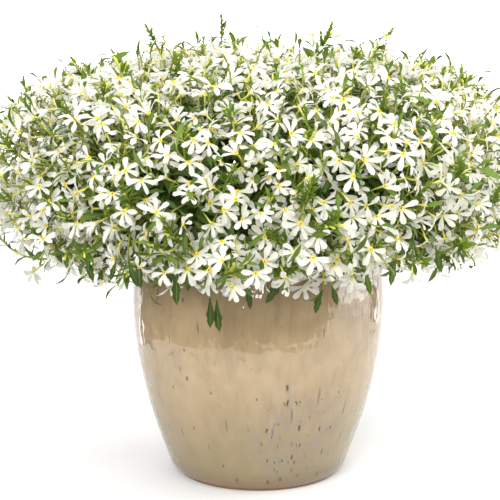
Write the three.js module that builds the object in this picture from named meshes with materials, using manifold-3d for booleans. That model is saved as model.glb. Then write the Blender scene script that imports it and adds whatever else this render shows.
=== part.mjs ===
// A white fan flower in a glazed stoneware pot.
// Leafy branches stand in the compost and spread into a wide mound. Each branch forks into shoots. Some
// shoots end in a leafy tuft, and the others carry a flower spike: a short stalk with fan-shaped blooms.
// Millimetres, +Z up. The origin is the centre of the pot's underside.

import * as THREE from "three";
import { mergeVertices } from "three/addons/utils/BufferGeometryUtils.js";
import Module from "manifold-3d";

const wasm = await Module();
wasm.setup();

// The pot
const potHeight = 235;
const bellyRadius = 125.5;
const bellyHeight = 172;
const glazeFootRadius = 84.5;
const bareFootRadius = 80.5;
const rimRadius = 117;
const wallThickness = 9;
const floorThickness = 13;
const lipWidth = 9;
const potSides = 30;
const drain = { count: 3, radius: 7, fromAxis: 42, sides: 8 };

// The compost, and the holes that the branches stand in
const compostLevel = 217;
const compostCrown = 5;
const hole = { depth: 9, sides: 5 };

// The mound of foliage: a flattened round, whose lower edge curls below the pot's rim
const mound = { radius: 258, middle: 312, rise: 106, drop: 122, fullness: 2.6, lastAngle: 145 };
const crownRadius = 46;

// The dense inner leafage: a smaller dome of the mound's form, open below, with a lobe for each branch
const core = { middle: 265, bottom: 243, scale: 0.64, inner: 0.36, lastAngle: 118, gap: 0.8 };
const coreShape = { sides: 16, rings: 5 };
const coreTips = { out: 24, sway: 5 };
const coreHollow = { sides: 9, rings: 2, below: 10 };

// Counts of the plant's pieces. The step spreads the leafy shoots evenly among the flowering ones.
const branchCount = 12;
const branchSpread = 0.86;
const firstBearing = 0.6;
const shootCount = 62;
const leafyShoots = { share: 0.37, step: 0.41 };
const bloomsPerSpike = 5;

// How far the shoots stray from an even spread, and how far leafy tips stand out of the mound
const scatter = { bearing: 0.12, share: 0.3 };
const tuft = { least: 3, side: 8, top: 16, lean: 0.3, lift: 0.35 };

// Stems, blooms and leaves
const stem = { root: 2.8, end: 2.2, shoot: 1.6, tip: 1.3, sides: 4, neck: 6, rooting: 0.8 };
const spike = { length: 74, base: 1.7, tip: 1.2, lean: 1.5, lift: 0.15, sink: 8 };
const bloomRoots = { lowest: 0.14, highest: 0.96, lowSide: 1.4, highSide: 0.5, sway: 0.3 };
const bloom = { petals: 5, length: 29, halfWidth: 5.2, throat: 3.2, spread: 196, eye: 1.7 };
const bloomTube = { length: 23, neck: 1.2, foot: 0.52 };
const broadLeaf = { length: 40, halfWidth: 6.8, widest: 0.6, tilt: 0.35, arch: 4 };
const narrowLeaf = { length: 27, tilt: 0.75 };
const budLeaf = { length: 19, tilt: 1.15 };
const stub = { length: 2.5, halfWidth: 1.2, arch: 0 };
const whorl = { collar: 2.4, rise: 1.8, spacing: 9, below: 4 };

const gap = 0.35;
const grazeAllowed = 0.02;
const goldenAngle = Math.PI * (3 - Math.sqrt(5));
const up = new THREE.Vector3(0, 0, 1);

const glaze = new THREE.MeshStandardMaterial({ color: "#cdb995", roughness: 0.16, metalness: 0 });
const compost = new THREE.MeshStandardMaterial({ color: "#3b2a1e", roughness: 0.95, metalness: 0 });
const foliage = new THREE.MeshStandardMaterial({ color: "#4f7d2c", roughness: 0.55, metalness: 0 });
const petal = new THREE.MeshStandardMaterial({ color: "#f4f2ec", roughness: 0.5, metalness: 0 });

// A number from 0 to 1 that is always the same for the same three whole numbers.
function chance(a, b, c) {
  let h = (Math.imul(a + 1, 374761393) + Math.imul(b + 1, 668265263) + Math.imul(c + 1, 1274126177)) | 0;
  h = Math.imul(h ^ (h >>> 15), 739982445);
  h = Math.imul(h ^ (h >>> 13), 695872825);
  return ((h ^ (h >>> 16)) >>> 0) / 4294967296;
}

// The same, from -1 to 1.
function sway(a, b, c) {
  return 2 * chance(a, b, c) - 1;
}

// Vectors, each made new.
function mixed(...pairs) {
  const sum = new THREE.Vector3();
  for (const [weight, vector] of pairs) sum.addScaledVector(vector, weight);
  return sum;
}

function direction(...pairs) {
  return mixed(...pairs).normalize();
}

// The part of a vector that is square to an axis, as a direction.
function squareTo(axis, vector) {
  return vector.clone().addScaledVector(axis, -axis.dot(vector)).normalize();
}

// A direction square to an axis, turned by an angle round it from the side that is nearest to another.
function around(axis, angle, from = Math.abs(axis.z) < 0.9 ? up : new THREE.Vector3(1, 0, 0)) {
  const first = squareTo(axis, from);
  const second = axis.clone().cross(first);
  return mixed([Math.cos(angle), first], [Math.sin(angle), second]);
}

// Solids

function solidFrom(geometry) {
  const bare = geometry.clone();
  bare.deleteAttribute("normal");
  bare.deleteAttribute("uv");
  const merged = mergeVertices(bare, 1e-4);
  return new wasm.Manifold(
    new wasm.Mesh({
      numProp: 3,
      vertProperties: merged.attributes.position.array,
      triVerts: new Uint32Array(merged.index.array),
    }),
  );
}

// A closed skin over loops of points, one after another. Loops may differ in their number of points, and
// the last may be a single point. Each runs anticlockwise, seen from the next.
function skinOver(loops) {
  const points = loops.flat();
  const faces = [];
  const first = loops[0].length;
  for (let k = 1; k < first - 1; k++) faces.push(0, k + 1, k);
  let start = 0;
  for (let n = 1; n < loops.length; n++) {
    const [lower, upper] = [loops[n - 1].length, loops[n].length];
    const next = start + lower;
    let [i, j] = [0, 0];
    while (i < lower || (upper > 1 && j < upper)) {
      if (upper === 1 || j === upper || (i < lower && (i + 0.5) / lower < (j + 0.5) / upper)) {
        faces.push(start + i, start + ((i + 1) % lower), next + (j % upper));
        i++;
      } else {
        faces.push(start + (i % lower), next + ((j + 1) % upper), next + j);
        j++;
      }
    }
    start = next;
  }
  const last = loops[loops.length - 1].length;
  for (let k = 1; k < last - 1; k++) faces.push(start, start + k, start + k + 1);
  const geometry = new THREE.BufferGeometry().setFromPoints(points);
  geometry.setIndex(faces);
  return solidFrom(geometry);
}

// A loop of points round a centre.
function loopAt(centre, axis, side, radius, sides) {
  const other = axis.clone().cross(side);
  return Array.from({ length: sides }, (_, k) => {
    const angle = (2 * Math.PI * k) / sides;
    return mixed([1, centre], [radius * Math.cos(angle), side], [radius * Math.sin(angle), other]);
  });
}

// The loops of a stem through points, thinning from one radius to another. A side given is the one that
// its last loop starts from.
function stemLoops(points, firstRadius, lastRadius, sides, lastSide) {
  const last = points.length - 1;
  let side = lastSide ?? around(direction([1, points[last]], [-1, points[last - 1]]), 0);
  const loops = [];
  for (let i = last; i >= 0; i--) {
    const axis = direction([1, points[Math.min(i + 1, last)]], [-1, points[Math.max(i - 1, 0)]]);
    side = squareTo(axis, side);
    const radius = THREE.MathUtils.lerp(firstRadius, lastRadius, i / last);
    loops.unshift(loopAt(points[i], axis, side, radius, sides));
  }
  return loops;
}

// The edge of a leaf: its left shoulder, tip and right shoulder, or only its tip where it is narrow.
function leafEdge(centre, axis, blade, grow) {
  const out = around(axis, blade.angle);
  const along = mixed([Math.cos(blade.tilt), out], [Math.sin(blade.tilt), axis]);
  const face = mixed([-Math.sin(blade.tilt), out], [Math.cos(blade.tilt), axis]);
  const across = face.clone().cross(along);
  const root = mixed([1, centre], [whorl.collar, out]);
  const tip = mixed([1, root], [blade.length + grow, along], [-(blade.arch ?? 0), face]);
  if (!blade.halfWidth) return [tip];
  const shoulder = mixed([1, root], [blade.widest * blade.length, along], [blade.arch, face]);
  const half = blade.halfWidth + grow;
  return [mixed([1, shoulder], [-half, across]), tip, mixed([1, shoulder], [half, across])];
}

// One leaf alone with some room round it, to see whether it is clear of its neighbours.
function leafRoom(centre, axis, blade) {
  const out = around(axis, blade.angle);
  const tangent = axis.clone().cross(out);
  const half = whorl.collar;
  const edge = [
    mixed([1, centre], [half, out], [-half, tangent]),
    ...leafEdge(centre, axis, blade, gap),
    mixed([1, centre], [half, out], [half, tangent]),
  ];
  return skinOver([
    [mixed([1, centre], [-whorl.rise - gap, axis], [half, out])],
    edge,
    [mixed([1, centre], [whorl.rise + gap, axis], [half, out])],
  ]);
}

// The loop of a whorl's edge: each leaf, and the notch between it and the next.
function whorlLoop(centre, axis, blades) {
  return blades.flatMap((blade, i) => {
    const next = blades[(i + 1) % blades.length].angle + (i + 1 === blades.length ? 2 * Math.PI : 0);
    const notch = mixed([1, centre], [whorl.collar, around(axis, (blade.angle + next) / 2)]);
    return [...leafEdge(centre, axis, blade, 0), notch];
  });
}

// One bloom: petals fanned to one side of the throat, on a tube that grows from the stalk.
function fanBloom({ root, throat, face, fanSide, size }, grow) {
  const middle = squareTo(face, fanSide);
  const across = face.clone().cross(middle);
  const at = (radius, angle, rise) => {
    const [forward, sideways] = [radius * Math.cos(angle), radius * Math.sin(angle)];
    return mixed([1, throat], [forward, middle], [sideways, across], [rise, face]);
  };
  const step = THREE.MathUtils.degToRad(bloom.spread) / (bloom.petals - 1);
  const length = bloom.length * size + grow;
  const half = Math.atan((bloom.halfWidth * size + grow) / length);
  const edge = [at(bloom.throat + grow, (-bloom.petals * step) / 2, 0)];
  for (let i = 0; i < bloom.petals; i++) {
    const angle = (i - (bloom.petals - 1) / 2) * step;
    edge.push(at(length, angle - half, 0));
    edge.push(at(length, angle + half, 0));
    edge.push(at(bloom.throat + grow, angle + step / 2, 0));
  }
  const sides = [-2, 0, 2];
  const collar = sides.map((angle) => at(bloomTube.neck + grow, angle, -bloom.eye - grow));
  const foot = sides.map((angle) => {
    const above = at(bloomTube.foot + grow, angle, 0);
    return mixed([1, above], [1, root], [-1, throat]);
  });
  const top = [at(0, 0, bloom.eye + grow)];
  return { whole: skinOver([foot, collar, edge, top]), fan: skinOver([collar, edge, top]) };
}

// The pot

function potRadius(z) {
  if (z < bellyHeight) {
    return bellyRadius - (bellyRadius - glazeFootRadius) * (1 - z / bellyHeight) ** 1.75;
  }
  return bellyRadius - (bellyRadius - rimRadius) * ((z - bellyHeight) / (potHeight - bellyHeight)) ** 2;
}

function revolved(profile) {
  const points = profile.map(([radius, z]) => new THREE.Vector2(radius, z));
  const geometry = new THREE.LatheGeometry(points, potSides);
  geometry.rotateX(Math.PI / 2);
  return solidFrom(geometry);
}

function upright(radius, height, sides, x, y, base) {
  const geometry = new THREE.CylinderGeometry(radius, radius, height, sides);
  geometry.rotateX(Math.PI / 2);
  geometry.translate(x, y, base + height / 2);
  return solidFrom(geometry);
}

// The pot's inner wall, from its floor up to below the lip.
function innerWall(clearance) {
  const wall = [50, 115, 205].map((z) => [potRadius(z) - wallThickness - clearance, z]);
  return [[potRadius(floorThickness) - wallThickness - 6, floorThickness + clearance], ...wall];
}

function potSolid() {
  const outside = [35, 75, 115, 172, 208, 229].map((z) => [potRadius(z), z]);
  let solid = revolved([
    [0, 0],
    [bareFootRadius, 0],
    [glazeFootRadius, 4],
    ...outside,
    [rimRadius - lipWidth / 2 + 1, potHeight],
    [rimRadius - lipWidth + 1, potHeight - 2],
    ...innerWall(0).reverse(),
    [0, floorThickness],
  ]);
  for (let k = 0; k < drain.count; k++) {
    const angle = (2 * Math.PI * (k + 0.5)) / drain.count;
    const [x, y] = [drain.fromAxis * Math.cos(angle), drain.fromAxis * Math.sin(angle)];
    solid = solid.subtract(upright(drain.radius, floorThickness + 4, drain.sides, x, y, -2));
  }
  return solid;
}

function compostSolid(roots) {
  let solid = revolved([
    [0, floorThickness + gap],
    ...innerWall(gap),
    [potRadius(compostLevel) - wallThickness - 1.5, compostLevel],
    [0, compostLevel + compostCrown],
  ]);
  const radius = (stem.root + gap) / Math.cos(Math.PI / hole.sides);
  for (const root of roots) {
    solid = solid.subtract(upright(radius, 40, hole.sides, root.x, root.y, root.z - gap));
  }
  return solid;
}

const numbered = (word, index) => `${word}_${String(index + 1).padStart(2, "0")}`;

// The plan of the mound

// The mound's outline in half a section, by the angle from its top.
function outlineAt(degrees) {
  const angle = THREE.MathUtils.degToRad(degrees);
  const power = 2 / mound.fullness;
  const cosine = Math.cos(angle);
  const radius = mound.radius * Math.abs(Math.sin(angle)) ** power;
  return { radius, z: mound.middle + (cosine > 0 ? mound.rise : -mound.drop) * Math.abs(cosine) ** power };
}

// Points down the outline, from its top to its lower edge, with the area covered so far.
const outline = [];
for (let degrees = 0; degrees <= mound.lastAngle; degrees += 0.5) {
  const { radius, z } = outlineAt(degrees);
  const before = outline.at(-1) ?? { radius, z, area: 0 };
  const area = before.area + (radius + before.radius) * Math.hypot(radius - before.radius, z - before.z);
  outline.push({ radius, z, area });
}

// The point and the outward direction of the mound where a share of its area lies above, at a bearing.
function moundAt(share, bearing) {
  const area = share * outline.at(-1).area;
  const i = Math.max(1, outline.findIndex((p) => p.area >= area));
  const [before, after] = [outline[i - 1], outline[i]];
  const part = (area - before.area) / (after.area - before.area);
  const radius = before.radius + part * (after.radius - before.radius);
  const z = before.z + part * (after.z - before.z);
  const slope = new THREE.Vector2(before.z - after.z, after.radius - before.radius).normalize();
  const [cosine, sine] = [Math.cos(bearing), Math.sin(bearing)];
  return {
    point: new THREE.Vector3(radius * cosine, radius * sine, z),
    outward: new THREE.Vector3(slope.x * cosine, slope.x * sine, slope.y),
  };
}

const middle = new THREE.Vector3(0, 0, core.middle);

// The direction in which the inner leafage is nearest to a point. It has nothing below its middle.
function headingTo(point) {
  const heading = direction([1, point], [-1, middle]);
  heading.z = Math.max(heading.z, 0.05);
  return heading.normalize();
}

// How far the mound's surface lies from its middle, in a direction.
function moundReach(heading) {
  const steepness = Math.acos(heading.z);
  const misses = outline.map((p) => Math.abs(Math.atan2(p.radius, p.z - core.middle) - steepness));
  const nearest = outline[misses.indexOf(Math.min(...misses))];
  return Math.hypot(nearest.radius, nearest.z - core.middle);
}

// The point in that direction at a share of the way to the mound's surface.
function pointTowards(heading, share) {
  return mixed([1, middle], [share * moundReach(heading), heading]);
}

function makeBranches() {
  return Array.from({ length: branchCount }, (_, i) => {
    const bearing = i * goldenAngle + firstBearing;
    const share = (i + 0.5) / branchCount;
    const heading = headingTo(moundAt(share * branchSpread, bearing).point);
    const near = crownRadius * Math.sqrt(share);
    const [x, y] = [near * Math.cos(bearing), near * Math.sin(bearing)];
    const root = new THREE.Vector3(x, y, compostLevel - hole.depth);
    return { name: numbered("branch", i), root, heading };
  });
}

// Where the k-th shoot stands in the mound, and how it leans there.
function makeShoot(k, turn) {
  const bearing = k * goldenAngle + scatter.bearing * sway(k, 1, 0);
  const share = (k + 0.5 + scatter.share * sway(k, 2, 0)) / shootCount;
  const { point, outward } = moundAt(share, bearing);
  const leafy = (k * leafyShoots.step) % 1 < leafyShoots.share;
  const lean = around(outward, 2 * Math.PI * chance(k, 3, 0) + turn);
  if (lean.dot(headingTo(point)) < -0.1) lean.negate();
  const axis = leafy
    ? direction([1, outward], [tuft.lean, lean], [tuft.lift, up])
    : direction([1, outward], [spike.lean, lean], [spike.lift, up]);
  const most = tuft.side + tuft.top * Math.max(0, outward.z);
  const ahead = leafy ? tuft.least + most * chance(k, 4, 0) : -spike.sink;
  const along = leafy ? 0 : spike.length / 2;
  const tip = mixed([1, point], [ahead, outward], [along, axis], [-along * axis.dot(outward), outward]);
  const base = mixed([1, tip], [leafy ? -2 * whorl.spacing : -spike.length, axis]);
  return { k, leafy, tip, base, axis, outward };
}

// A dome of the mound's form at a smaller scale, with the tips of leaves standing out of it.
function domeSolid(scale, sides, rings, tips, bottom) {
  const loops = [];
  for (let n = 0; n < rings; n++) {
    const { radius, z } = outlineAt(core.lastAngle * (1 - n / rings));
    loops.push(
      Array.from({ length: sides }, (_, k) => {
        const bearing = (2 * Math.PI * (k + 0.5 * (n % 2))) / sides;
        const tip = k % 2 === 0 ? tips.out : 0;
        const reach = radius * scale + tip + tips.sway * sway(k, n, 7);
        const level = core.middle + scale * (z - core.middle) + tip / 2 + tips.sway * sway(k, n, 8);
        const height = n === 0 ? bottom : level;
        return new THREE.Vector3(reach * Math.cos(bearing), reach * Math.sin(bearing), height);
      }),
    );
  }
  loops.push([new THREE.Vector3(0, 0, core.middle + scale * (mound.middle + mound.rise - core.middle))]);
  return skinOver(loops);
}

// The lobe of the inner leafage that lies nearest to each branch's heading.
function coreLobes(branches) {
  const { sides, rings, below } = coreHollow;
  const hollow = domeSolid(core.inner, sides, rings, { out: 0, sway: 0 }, core.bottom - below);
  const whole = domeSolid(core.scale, coreShape.sides, coreShape.rings, coreTips, core.bottom);
  const shell = whole.subtract(hollow);
  return branches.map((branch) =>
    branches.reduce((lobe, other) => {
      if (other === branch) return lobe;
      const inward = direction([1, branch.heading], [-1, other.heading]);
      return lobe.trimByPlane(inward.toArray(), inward.dot(middle) + core.gap / 2);
    }, shell),
  );
}

// The room that is taken so far, with the piece that takes it.
const taken = [];

function boxesMeet(a, b) {
  return [0, 1, 2].every((i) => a.min[i] <= b.max[i] && b.min[i] <= a.max[i]);
}

// Whether a solid is clear of every other piece, and of the named kinds of room in its own piece.
// It may graze the room round its neighbours by a small volume.
function isClear(piece, solid, ownKinds = [], graze = 0) {
  const box = solid.boundingBox();
  return !taken.some(
    (other) =>
      (other.piece !== piece || ownKinds.includes(other.kind)) &&
      boxesMeet(box, other.box) &&
      solid.intersect(other.solid).volume() > graze,
  );
}

function take(piece, solid, kind) {
  taken.push({ piece, solid, kind, box: solid.boundingBox() });
}

// The solids that each piece of the plant is fused from.
const pieces = new Map();

function give(piece, solid) {
  pieces.set(piece, [...(pieces.get(piece) ?? []), solid]);
}

// The bends that a stem's way may take, as shares of its length, and the sides that they go to.
const bends = [0, 0.15, 0.3, 0.45];
const bendSides = [0, Math.PI, Math.PI / 2, -Math.PI / 2];

// Takes room for a stem, with the least bend that is clear, and gives its points.
function routeStem(piece, { from, handle, to, beyond = [], count, rooms }) {
  const heading = direction([1, to], [-1, from]);
  const span = from.distanceTo(to);
  for (const radius of rooms) {
    for (const bend of bends) {
      for (const side of bendSides) {
        const bent = mixed([1, handle], [bend * span, around(heading, side)]);
        const points = new THREE.QuadraticBezierCurve3(from, bent, to).getPoints(count);
        const room = skinOver(stemLoops([...points, ...beyond], radius, radius, 5));
        if (!isClear(piece, room)) continue;
        take(piece, room, "stem");
        return points;
      }
    }
  }
  return null;
}

// A branch's stem stands in its hole and rises into its lobe of the inner leafage.
function routeBranch({ name, root, heading }) {
  const neck = mixed([1, root], [hole.depth + compostCrown + stem.neck, up]);
  const end = pointTowards(heading, (core.scale + core.inner) / 2);
  const handle = mixed([0.6, neck], [0.4, end], [0.25 * end.distanceTo(neck), up]);
  const way = routeStem(name, { from: neck, handle, to: end, count: 3, rooms: [stem.root + gap] });
  give(name, skinOver(stemLoops([root, ...way], stem.root, stem.end, stem.sides)));
}

// A shoot's stalk leaves the lobe that is nearest, or the next nearest where that way is barred, and comes
// to its whorls from below, along its axis.
function routeShoot(shoot, branches) {
  const { axis, base } = shoot;
  const heading = headingTo(base);
  const neck = mixed([1, base], [-whorl.rise - (shoot.leafy ? 0 : whorl.below), axis]);
  const rooms = [whorl.collar + 2 * gap, stem.shoot + gap];
  for (const branch of branches.toSorted((a, b) => b.heading.dot(heading) - a.heading.dot(heading))) {
    const inward = direction([0.85, heading], [0.15, branch.heading]);
    const from = pointTowards(inward, core.scale * stem.rooting);
    const handle = mixed([1, neck], [-0.45 * neck.distanceTo(from), axis]);
    const way = routeStem(branch.name, { from, handle, to: neck, beyond: [base], count: 2, rooms });
    if (way) return { ...shoot, way, branch };
  }
  return null;
}

// The axis of a flower spike, a little clear of the stalk that it stands on.
function spikeAxis({ base, tip, axis }, grow) {
  const foot = mixed([1, base], [gap + 0.1, axis]);
  return skinOver(stemLoops([foot, tip], spike.base + grow, spike.tip + grow, 3));
}

// The k-th shoot on its stalk, with the first lean that gives it a clear way.
function growShoot(k, name, branches) {
  for (let turn = 0; turn < 2 * Math.PI; turn += 0.4) {
    const plan = makeShoot(k, turn);
    if (!plan.leafy && !isClear(name, spikeAxis(plan, gap))) continue;
    const shoot = routeShoot(plan, branches);
    if (!shoot) continue;
    if (shoot.leafy) return shoot;
    take(name, spikeAxis(shoot, gap), "stem");
    give(name, spikeAxis(shoot, 0));
    return { ...shoot, name };
  }
  throw new Error(`no clear way for shoot ${k}`);
}

// The sizes, turns and tilts that a bloom may take, with the best first.
const bloomChoices = [1, 0.85].flatMap((size) =>
  [0, 0.45, -0.45, 0.9, -0.9].flatMap((turn) => [0, 0.35, -0.35].map((tilt) => ({ size, turn, tilt }))),
);

// The j-th bloom up a spike, on the first choice of its turn, tilt and size that is clear.
function placeBloom(shoot, j) {
  const { name } = shoot;
  const { lowest, highest, lowSide, highSide } = bloomRoots;
  const share = j / (bloomsPerSpike - 1);
  const along = THREE.MathUtils.lerp(lowest, highest, share) * spike.length;
  const root = mixed([1, shoot.base], [along, shoot.axis]);
  const turned = (j % 2 === 0 ? 1 : -1) * THREE.MathUtils.lerp(lowSide, highSide, share);
  const side = turned + bloomRoots.sway * sway(shoot.k, 5, j);
  for (const { size, turn, tilt } of bloomChoices) {
    const fanSide = around(shoot.axis, side + turn, shoot.outward);
    const out = direction([1, fanSide], [0.2 + 0.5 * share, shoot.axis], [0.3, shoot.outward]);
    const face = direction([0.5, out], [0.9, shoot.outward], [0.12, up], [tilt, around(out, j)]);
    const shape = { root, throat: mixed([1, root], [bloomTube.length, out]), face, fanSide, size };
    const room = fanBloom(shape, gap);
    if (!isClear(name, room.whole, ["blade"]) || !isClear(name, room.fan, ["stem"])) continue;
    const solid = fanBloom(shape, 0).whole;
    take(name, solid, "blade");
    give(name, solid);
    return;
  }
}

// Blades round a stem, each as long as its room allows.
function grownBlades(piece, centre, axis, kind, count, first) {
  return Array.from({ length: count }, (_, i) => {
    const angle = first + (2 * Math.PI * i) / count;
    for (const scale of [1, 0.8, 0.6, 0.45]) {
      for (const lift of [0, 0.3, -0.3, 0.6]) {
        const blade = { ...kind, angle, tilt: kind.tilt + lift, length: kind.length * scale };
        if (kind.halfWidth) blade.halfWidth = kind.halfWidth * Math.sqrt(scale);
        const room = leafRoom(centre, axis, blade);
        if (!isClear(piece, room, ["blade", "core"])) continue;
        take(piece, room, "blade");
        return blade;
      }
    }
    return { ...kind, ...stub, angle, halfWidth: kind.halfWidth && stub.halfWidth };
  });
}

// A shoot's stalk, its whorls of leaves and its end, as one skin.
function shootSkin({ leafy, axis, base, way }, name, first) {
  const at = (along) => mixed([1, base], [along, axis]);
  const whorls = leafy
    ? [
        { centre: at(0), kind: broadLeaf, count: 3, turn: 0 },
        { centre: at(whorl.spacing), kind: narrowLeaf, count: 4, turn: 0.5 },
        { centre: at(2 * whorl.spacing), kind: budLeaf, count: 3, turn: 1 },
      ]
    : [{ centre: at(-whorl.below), kind: broadLeaf, count: 2, turn: 0, top: at(-gap) }];
  const grown = whorls.map((each) => {
    const blades = grownBlades(name, each.centre, axis, each.kind, each.count, first + each.turn);
    return { ...each, blades, side: around(axis, blades[0].angle) };
  });
  const loops = stemLoops(way, stem.shoot, stem.tip, 3, grown[0].side).slice(0, -1);
  for (const { centre, blades, side, top } of grown) {
    loops.push(loopAt(mixed([1, centre], [-whorl.rise, axis]), axis, side, stem.tip, 3));
    loops.push(whorlLoop(centre, axis, blades));
    loops.push(loopAt(top ?? mixed([1, centre], [whorl.rise, axis]), axis, side, stem.tip, 3));
  }
  if (leafy) loops.splice(-1, 1, [at(2 * whorl.spacing + whorl.rise)]);
  return skinOver(loops);
}

// Grows a shoot on its branch, turned round its axis until it is clear of the other pieces.
function placeShoot(shoot) {
  const { name } = shoot.branch;
  const before = taken.length;
  for (let turn = 0; turn < 12; turn++) {
    const skin = shootSkin(shoot, name, 2 * Math.PI * chance(shoot.k, 7, 0) + 0.3 * turn);
    if (isClear(name, skin, [], grazeAllowed)) {
      give(name, skin);
      return;
    }
    taken.length = before;
  }
  throw new Error(`no room for a shoot of ${name}`);
}

function meshOf(name, solid, material) {
  const { vertProperties, triVerts } = solid.getMesh();
  const geometry = new THREE.BufferGeometry();
  geometry.setAttribute("position", new THREE.BufferAttribute(vertProperties, 3));
  geometry.setIndex(new THREE.BufferAttribute(triVerts, 1));
  geometry.computeVertexNormals();
  const mesh = new THREE.Mesh(geometry, material);
  mesh.name = name;
  return mesh;
}

// One body for each piece of the plant. A scrap that doesn't hold to it is dropped.
function fused(name) {
  const bodies = wasm.Manifold.union(pieces.get(name)).decompose();
  return bodies.reduce((best, body) => (body.volume() > best.volume() ? body : best));
}

const branches = makeBranches();
const pot = potSolid();
const soil = compostSolid(branches.map((branch) => branch.root));
take("pot", pot, "shell");
take("compost", soil, "filling");
coreLobes(branches).forEach((lobe, i) => {
  take(branches[i].name, lobe, "core");
  give(branches[i].name, lobe);
});

branches.forEach(routeBranch);
const shoots = [];
const spikes = [];
for (let k = 0; k < shootCount; k++) {
  const shoot = growShoot(k, numbered("flowers", spikes.length), branches);
  shoots.push(shoot);
  if (!shoot.leafy) spikes.push(shoot);
}
for (let j = 0; j < bloomsPerSpike; j++) spikes.forEach((shoot) => placeBloom(shoot, j));
shoots.forEach(placeShoot);

const group = new THREE.Group();
group.add(meshOf("pot", pot, glaze));
group.add(meshOf("compost", soil, compost));
for (const { name } of branches) group.add(meshOf(name, fused(name), foliage));
for (const { name } of spikes) group.add(meshOf(name, fused(name), petal));

export default group;
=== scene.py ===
# A white fan flower in a glazed pot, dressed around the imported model. Metres, +Z up.
import math
import random

import bpy
import numpy as np
from mathutils import Matrix, Vector, noise


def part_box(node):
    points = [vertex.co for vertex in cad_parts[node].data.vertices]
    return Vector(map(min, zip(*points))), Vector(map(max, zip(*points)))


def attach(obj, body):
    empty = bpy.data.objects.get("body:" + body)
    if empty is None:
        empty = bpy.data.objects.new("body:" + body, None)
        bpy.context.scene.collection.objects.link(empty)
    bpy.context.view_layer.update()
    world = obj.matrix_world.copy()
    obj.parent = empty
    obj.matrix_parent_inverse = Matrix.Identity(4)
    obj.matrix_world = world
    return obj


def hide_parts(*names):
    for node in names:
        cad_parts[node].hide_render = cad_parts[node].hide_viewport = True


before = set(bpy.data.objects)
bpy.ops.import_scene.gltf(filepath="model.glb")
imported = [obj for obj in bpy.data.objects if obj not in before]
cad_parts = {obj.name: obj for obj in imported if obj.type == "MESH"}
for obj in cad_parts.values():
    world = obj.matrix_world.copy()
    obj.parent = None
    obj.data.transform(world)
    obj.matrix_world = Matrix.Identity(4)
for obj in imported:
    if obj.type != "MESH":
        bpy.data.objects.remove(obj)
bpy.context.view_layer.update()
scene = bpy.context.scene
up = Vector((0, 0, 1))
goldenAngle = math.pi * (3 - math.sqrt(5))
branchNames = sorted(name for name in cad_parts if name.startswith("branch"))
flowerNames = sorted(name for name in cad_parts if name.startswith("flowers"))
print("frame loaded:", len(branchNames), "branches and", len(flowerNames), "flower spikes")


# Small helpers

def ease(low, high, value):
    part = min(1.0, max(0.0, (value - low) / (high - low)))
    return part * part * (3 - 2 * part)


def squareTo(axis, vector):
    flat = vector - axis * axis.dot(vector)
    return flat.normalized() if flat.length > 1e-6 else axis.orthogonal().normalized()


def around(axis, angle, near=None):
    # a direction square to the axis, turned from the side nearest to another direction
    first = squareTo(axis, near or up)
    return first * math.cos(angle) + axis.cross(first) * math.sin(angle)


def standing(place, along, face, size):
    # a matrix with +X along a blade or a fan's middle, and +Z out of its face
    z = squareTo(along, face)
    y = z.cross(along)
    turned = Matrix((along, y, z)).transposed() @ Matrix.Diagonal((size, size, size))
    matrix = turned.to_4x4()
    matrix.translation = place
    return matrix


def anyWay(dice):
    while True:
        v = Vector((dice.uniform(-1, 1), dice.uniform(-1, 1), dice.uniform(-1, 1)))
        if 0.05 < v.length < 1:
            return v.normalized()


def swayed(way, dice, amount):
    # a direction, turned a little to any side
    return (way + anyWay(dice) * amount).normalized()


def circle(sides):
    return [2 * math.pi * k / sides for k in range(sides)]


# Shapes and gathered meshes

class Shape:
    # points with two marks each, how far along and how far across, and faces with a material number each
    def __init__(self):
        self.points, self.marks, self.faces, self.finishes = [], [], [], []

    def point(self, place, along=0.0, across=0.0):
        self.points.append(tuple(place))
        self.marks.append((along, across))
        return len(self.points) - 1

    def face(self, corners, finish):
        self.faces.append(tuple(corners))
        self.finishes.append(finish)

    def blades(self, rows, finish):
        # joins rows of points, each from one edge to the other; a row of one point is a tip
        for low, high in zip(rows, rows[1:]):
            if len(high) == 1:
                for a, b in zip(low, low[1:]):
                    self.face((a, b, high[0]), finish)
            else:
                for a, b, c, d in zip(low, low[1:], high[1:], high):
                    self.face((a, b, c, d), finish)

    def rings(self, rings, finish):
        # joins rings of points, and closes the last one
        for low, high in zip(rings, rings[1:]):
            n = len(low)
            for k in range(n):
                self.face((low[k], low[(k + 1) % n], high[(k + 1) % n], high[k]), finish)
        self.face(rings[-1], finish)

    def tube(self, places, radii, sides, finish, near=None):
        rings = []
        side = near or Vector((1, 0, 0))
        for i, place in enumerate(places):
            axis = (places[min(i + 1, len(places) - 1)] - places[max(i - 1, 0)]).normalized()
            side = squareTo(axis, side)
            other = axis.cross(side)
            ring = []
            for k, angle in enumerate(circle(sides)):
                out = side * math.cos(angle) + other * math.sin(angle)
                ring.append(self.point(place + out * radii[i], i / (len(places) - 1), k / sides))
            rings.append(ring)
        self.rings(rings, finish)

    def ready(self):
        self.pointArray = np.array(self.points, float)
        self.markArray = np.array(self.marks, float)
        self.corners = np.array([c for f in self.faces for c in f])
        self.sizes = np.array([len(f) for f in self.faces])
        self.finishArray = np.array(self.finishes)
        return self


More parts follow.
